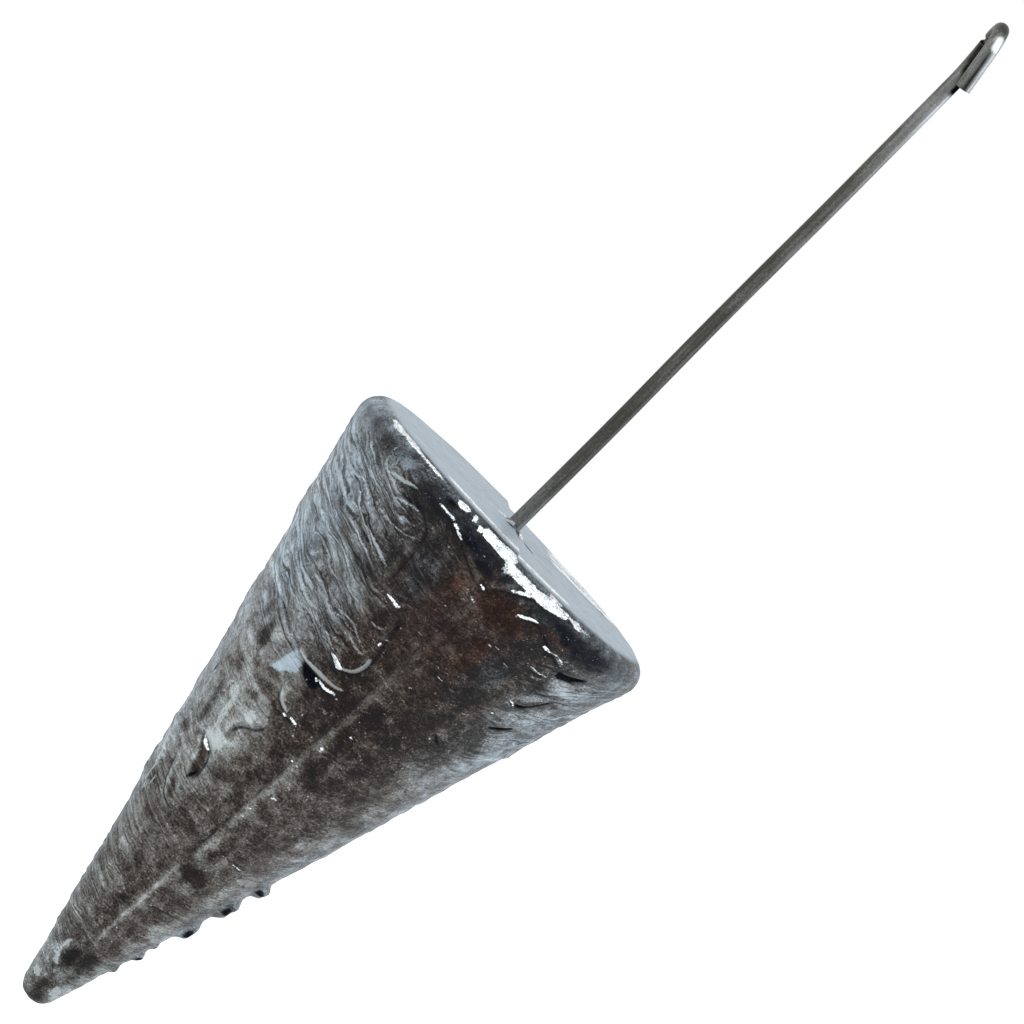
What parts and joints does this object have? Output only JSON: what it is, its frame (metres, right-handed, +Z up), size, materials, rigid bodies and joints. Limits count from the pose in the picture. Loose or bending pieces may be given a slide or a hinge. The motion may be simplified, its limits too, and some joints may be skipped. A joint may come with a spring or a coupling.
{
  "type": "fishing sinker",
  "caption": "Cone-shaped cast lead fishing sinker that hangs point down from a long straight steel wire, with a hand-bent eye for the line.",
  "frame": {"origin": "middle of the hole of the wire eye, where the line is tied", "axes": "+Z up, from the cone's point to the eye, as the sinker hangs; -Y is the front, with the casting's seam and the eye's cut end"},
  "size_m": [0.0392, 0.0392, 0.1384],
  "materials": {
    "cast_lead": "as-cast lead with cold laps, tarnished and stained",
    "steel_wire": "drawn steel wire, dull"
  },
  "bodies": {
    "root": {"lead_cone": "cast_lead", "wire_stem": "steel_wire"}
  },
  "joints": []
}
